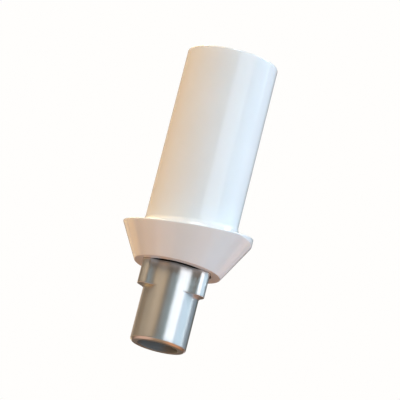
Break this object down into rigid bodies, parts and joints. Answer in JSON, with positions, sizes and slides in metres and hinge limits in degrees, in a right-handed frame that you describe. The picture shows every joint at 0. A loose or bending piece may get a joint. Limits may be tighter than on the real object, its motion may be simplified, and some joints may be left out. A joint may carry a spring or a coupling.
{
  "type": "dental implant abutment",
  "caption": "Dental abutment: white chimney on a flared collar with a sloping rim, with a bonded metal tube below it that has three rounded lobes.",
  "frame": {"origin": "centre of the flat ring under the collar, on the axis of the connection tube", "axes": "+Z along the tube's axis, up through the chimney; the collar's rim is lowest towards -Y; one lobe points along +X"},
  "size_m": [0.0066, 0.0063, 0.015],
  "materials": {
    "white_ceramic": "gloss",
    "bright_metal": "polished"
  },
  "bodies": {
    "root": {"sleeve_body": "white_ceramic", "connection_insert": "bright_metal"}
  },
  "joints": []
}
